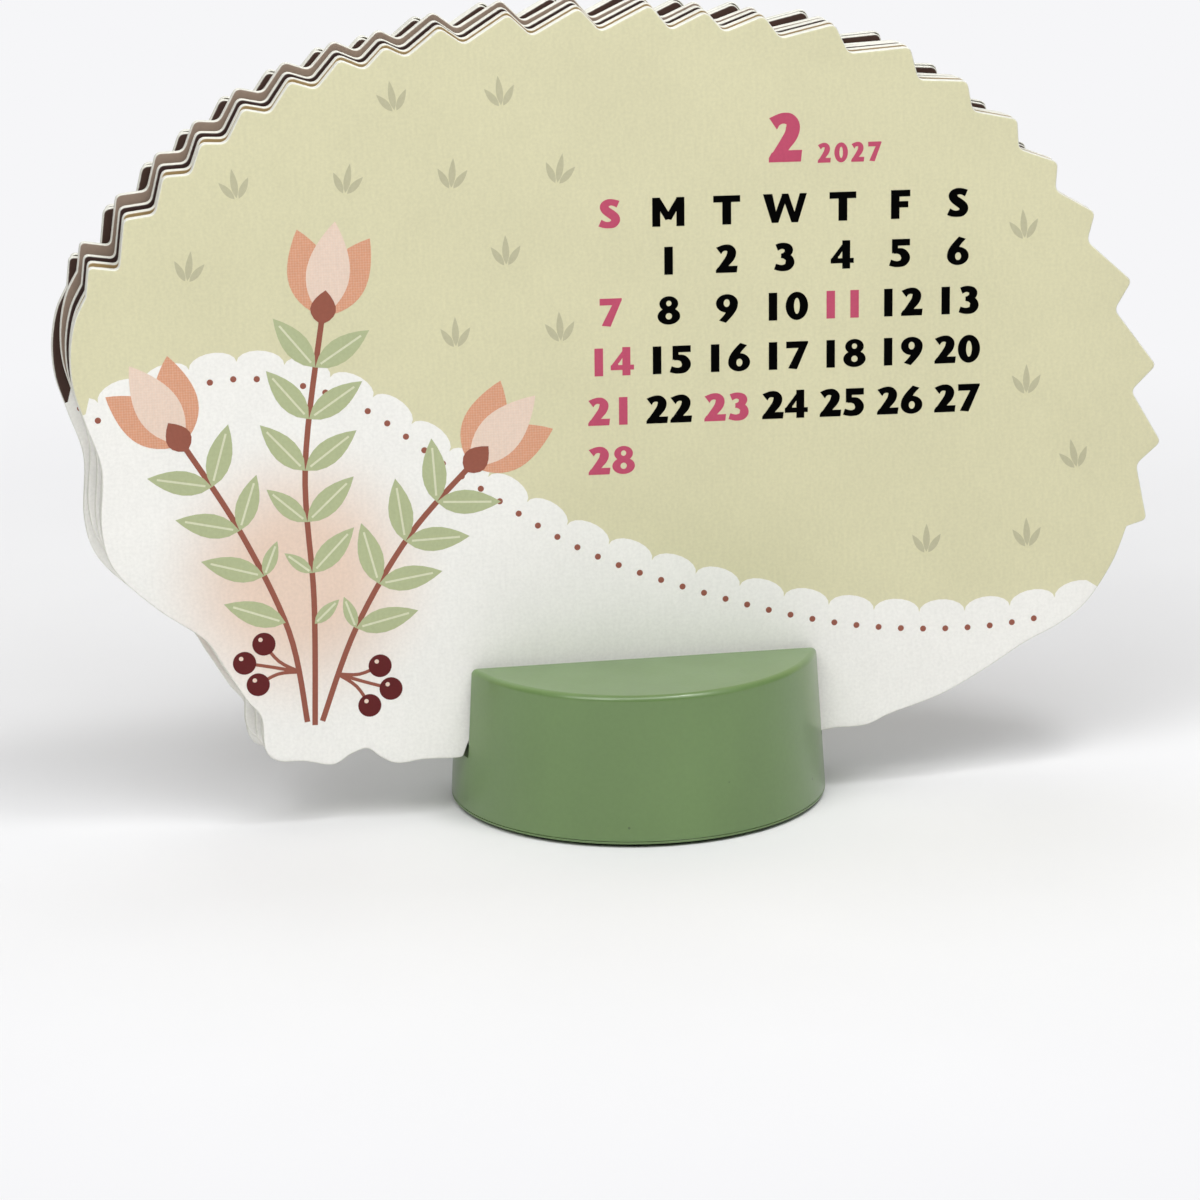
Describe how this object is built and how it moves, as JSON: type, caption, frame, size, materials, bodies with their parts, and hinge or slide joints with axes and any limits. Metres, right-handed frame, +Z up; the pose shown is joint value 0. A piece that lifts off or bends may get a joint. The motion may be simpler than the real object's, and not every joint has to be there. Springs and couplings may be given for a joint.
{
  "type": "desk calendar",
  "caption": "Desk calendar: die-cut animal-shaped month boards standing in the slot of a round moulded stand.",
  "frame": {"origin": "middle of the foot pad's lower face, on the table", "axes": "+X along the slot, towards the right of the front board's printed face; +Y from the front board to the rear board; +Z up"},
  "size_m": [0.148, 0.0508, 0.1077],
  "materials": {
    "stand_plastic": "moulded sage green plastic, satin, with a soft sheen along the rounded top edge",
    "plate_plastic": "moulded sage green plastic, matt",
    "pad_rubber": "thin dark non-slip sheet, matt",
    "board_1": "thick die-cut board, matt coated and printed on both faces, with a white cut edge",
    "board_2": "thick die-cut board, matt coated and printed on both faces, with a white cut edge",
    "board_3": "thick die-cut board, matt coated and printed on both faces, with a white cut edge",
    "board_4": "thick die-cut board, matt coated and printed on both faces, with a white cut edge",
    "board_5": "thick die-cut board, matt coated and printed on both faces, with a white cut edge",
    "board_6": "thick die-cut board, matt coated and printed on both faces, with a white cut edge"
  },
  "bodies": {
    "stand": {"stand_shell": "stand_plastic", "base_plate": "plate_plastic", "foot_pad": "pad_rubber"},
    "card_1": {"card_1": "board_1"},
    "card_2": {"card_2": "board_2"},
    "card_3": {"card_3": "board_3"},
    "card_4": {"card_4": "board_4"},
    "card_5": {"card_5": "board_5"},
    "card_6": {"card_6": "board_6"}
  },
  "joints": [
    {"name": "card_1_lift", "type": "slide", "parent": "stand", "child": "card_1", "axis": [0, 0.0523, 0.9986], "range_m": [0, 0.015]},
    {"name": "card_2_lift", "type": "slide", "parent": "stand", "child": "card_2", "axis": [0, 0.0645, 0.9979], "range_m": [0, 0.015]},
    {"name": "card_3_lift", "type": "slide", "parent": "stand", "child": "card_3", "axis": [0, 0.0715, 0.9974], "range_m": [0, 0.015]},
    {"name": "card_4_lift", "type": "slide", "parent": "stand", "child": "card_4", "axis": [0, 0.0732, 0.9973], "range_m": [0, 0.015]},
    {"name": "card_5_lift", "type": "slide", "parent": "stand", "child": "card_5", "axis": [0, 0.075, 0.9972], "range_m": [0, 0.015]},
    {"name": "card_6_lift", "type": "slide", "parent": "stand", "child": "card_6", "axis": [0, 0.0767, 0.9971], "range_m": [0, 0.015]}
  ]
}
